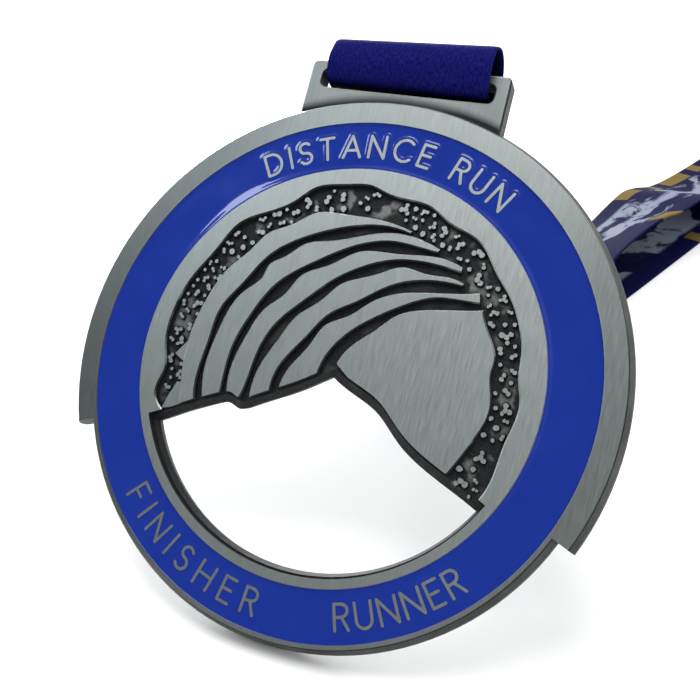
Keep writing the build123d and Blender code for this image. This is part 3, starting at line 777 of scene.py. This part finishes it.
def make_ribbon():
    """One strip with rounded edges. Its UV runs in millimetres along and across it."""
    rows = fitted_rows()
    middle, wide = rows[:, :3], rows[:, 3:]
    run = np.concatenate([[0], np.cumsum(np.linalg.norm(np.diff(middle, axis=0), axis=1))])
    tangent = np.gradient(middle, axis=0)
    tangent /= np.linalg.norm(tangent, axis=1)[:, None]
    wide = wide - (wide * tangent).sum(1)[:, None] * tangent
    wide /= np.linalg.norm(wide, axis=1)[:, None]
    normal = np.cross(wide, tangent)
    columns = len(ACROSS)
    half = RIBBON_THICKNESS / 2 * EDGE_SHARE
    sheet = middle[:, None] + wide[:, None] * ACROSS[None, :, None]
    thick = normal[:, None] * half[None, :, None]
    top, bottom = sheet + thick, sheet - thick
    count = len(rows)
    points = np.concatenate([top.reshape(-1, 3), bottom.reshape(-1, 3)]) * MM
    under = count * columns
    faces = grid_faces(count, columns)
    faces += [f[::-1] for f in grid_faces(count, columns, under)]
    for i in range(count - 1):
        a, b = i * columns, (i + 1) * columns
        faces.append((a, b, under + b, under + a))
        a, b = a + columns - 1, b + columns - 1
        faces.append((b, a, under + a, under + b))
    for j in range(columns - 1):
        last = (count - 1) * columns
        faces.append((j + 1, j, under + j, under + j + 1))
        faces.append((last + j, last + j + 1, under + last + j + 1, under + last + j))
    piece = mesh_piece("neck_ribbon", points, faces, RIBBON, "ribbon")
    layer = piece.data.uv_layers.new(name="strip")
    index = np.zeros(len(piece.data.loops), np.int32)
    piece.data.loops.foreach_get("vertex_index", index)
    index %= under
    uv = np.column_stack([run[index // columns], ACROSS[index % columns]])
    layer.data.foreach_set("uv", uv.astype(np.float32).ravel())
    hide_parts("neck_ribbon_loop", "neck_ribbon_strands", "neck_ribbon_folded_end")
    return piece


ribbon = make_ribbon()

STITCH_ROWS = (8.5, 11.5)
STITCHES_PER_ROW = 9
STITCH_LENGTH = 1.7
STITCH_RADIUS = 0.17
STITCH_RISE, STITCH_DIVE = 0.12, 0.26       # above the cloth in its middle, and from there to its ends


def make_stitches():
    """Each stitch is a short bent thread that dives into the cloth at both ends."""
    points, faces = [], []
    pitch = RIBBON_WIDTH / STITCHES_PER_ROW
    sides, steps = 8, 9
    for row in STITCH_ROWS:
        for out, face in ((1, LAYER + RIBBON_THICKNESS / 2), (-1, 3 * LAYER + RIBBON_THICKNESS / 2)):
            for i in range(STITCHES_PER_ROW):
                x = (i - (STITCHES_PER_ROW - 1) / 2) * pitch
                base = len(points)
                for k in range(steps):
                    t = k / (steps - 1) * 2 - 1
                    thin = math.sqrt(max(0.0, 1 - t ** 6)) * 0.9 + 0.1
                    centre = about_bar(SEAM_ANGLE, row) + SIDE * (x + t * STITCH_LENGTH / 2)
                    centre = centre + SEAM_OUT * out * (face + STITCH_RISE - STITCH_DIVE * t ** 4)
                    for m in range(sides):
                        a = 2 * math.pi * m / sides
                        ring = SEAM_DOWN * math.cos(a) + SEAM_OUT * math.sin(a)
                        points.append((centre + ring * STITCH_RADIUS * thin) * MM)
                for k in range(steps - 1):
                    for m in range(sides):
                        n = (m + 1) % sides
                        a, b = base + k * sides, base + (k + 1) * sides
                        faces.append((a + m, a + n, b + n, b + m))
                faces.append([base + m for m in range(sides)][::-1])
                faces.append([base + (steps - 1) * sides + m for m in range(sides)])
    piece = mesh_piece("seam_stitches", points, faces, THREAD, "ribbon")
    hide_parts("ribbon_stitching")
    return piece


stitches = make_stitches()


# ---- surroundings ------------------------------------------------------------------------
FLOOR_HALF = 3.0
FLOOR_GREYS = ((0.77, 0.77, 0.77, 1), (0.80, 0.80, 0.80, 1))


def make_floor():
    mesh = bpy.data.meshes.new("floor")
    corners = ((-1, -1), (1, -1), (1, 1), (-1, 1))
    points = [(FLOOR_HALF * x, FLOOR_HALF * y, 0) for x, y in corners]
    mesh.from_pydata(points, [], [(0, 1, 2, 3)])
    floor = bpy.data.objects.new("floor", mesh)
    scene.collection.objects.link(floor)
    look = Look("pale_floor")
    place = look.node("TexCoord", {}, output="Object")
    tone = look.step(look.noise(place, 9.0, 2.0, 0.5), 0.2, 0.8)
    look.surface(
        Base_Color=look.mix(tone, *FLOOR_GREYS),
        Roughness=0.75,
        Specular_IOR_Level=0.2,
    )
    mesh.materials.append(look.material)


def make_light(name, location, target, size, power, colour=(1, 1, 1)):
    data = bpy.data.lights.new(name, "AREA")
    data.shape = "DISK"
    data.size = size
    data.energy = power
    data.color = colour
    light = bpy.data.objects.new(name, data)
    light.location = location
    light.rotation_mode = "QUATERNION"
    light.rotation_quaternion = (Vector(target) - Vector(location)).to_track_quat("-Z", "Y")
    scene.collection.objects.link(light)


SKY = 1.6
DARK_SIDE = Vector((-0.43, -0.70, 0.57)).normalized()
DARK_SIDE_REACH = (52, 22)      # degrees from its middle: where it begins, where it is darkest
DARK_SIDE_LEVEL = 0.10


def make_world():
    """White all round, apart from the unlit side of the room in front of the medal."""
    world = bpy.data.worlds.new("studio")
    world.use_nodes = True
    nodes, links = world.node_tree.nodes, world.node_tree.links
    towards = nodes.new("ShaderNodeTexCoord").outputs["Generated"]
    dot = nodes.new("ShaderNodeVectorMath")
    dot.operation = "DOT_PRODUCT"
    links.new(towards, dot.inputs[0])
    dot.inputs[1].default_value = DARK_SIDE
    fade = nodes.new("ShaderNodeMapRange")
    fade.interpolation_type = "SMOOTHSTEP"
    links.new(dot.outputs["Value"], fade.inputs["Value"])
    fade.inputs["From Min"].default_value = math.cos(math.radians(DARK_SIDE_REACH[0]))
    fade.inputs["From Max"].default_value = math.cos(math.radians(DARK_SIDE_REACH[1]))
    fade.inputs["To Min"].default_value = SKY
    fade.inputs["To Max"].default_value = DARK_SIDE_LEVEL
    links.new(fade.outputs["Result"], nodes["Background"].inputs["Strength"])
    nodes["Background"].inputs["Color"].default_value = (1.0, 1.0, 1.0, 1)
    scene.world = world


make_floor()
make_world()
make_light("overhead", (-0.06, 0.06, 0.65), (0.0, 0.04, 0.02), 0.42, 2.2)
make_light("left", (-0.368, -0.144, 0.502), (-0.02, 0.04, 0.05), 0.13, 0.33, (0.82, 0.90, 1.0))
make_light("behind", (-0.42, 0.62, 0.20), (0.0, 0.05, 0.0), 0.4, 6.0)
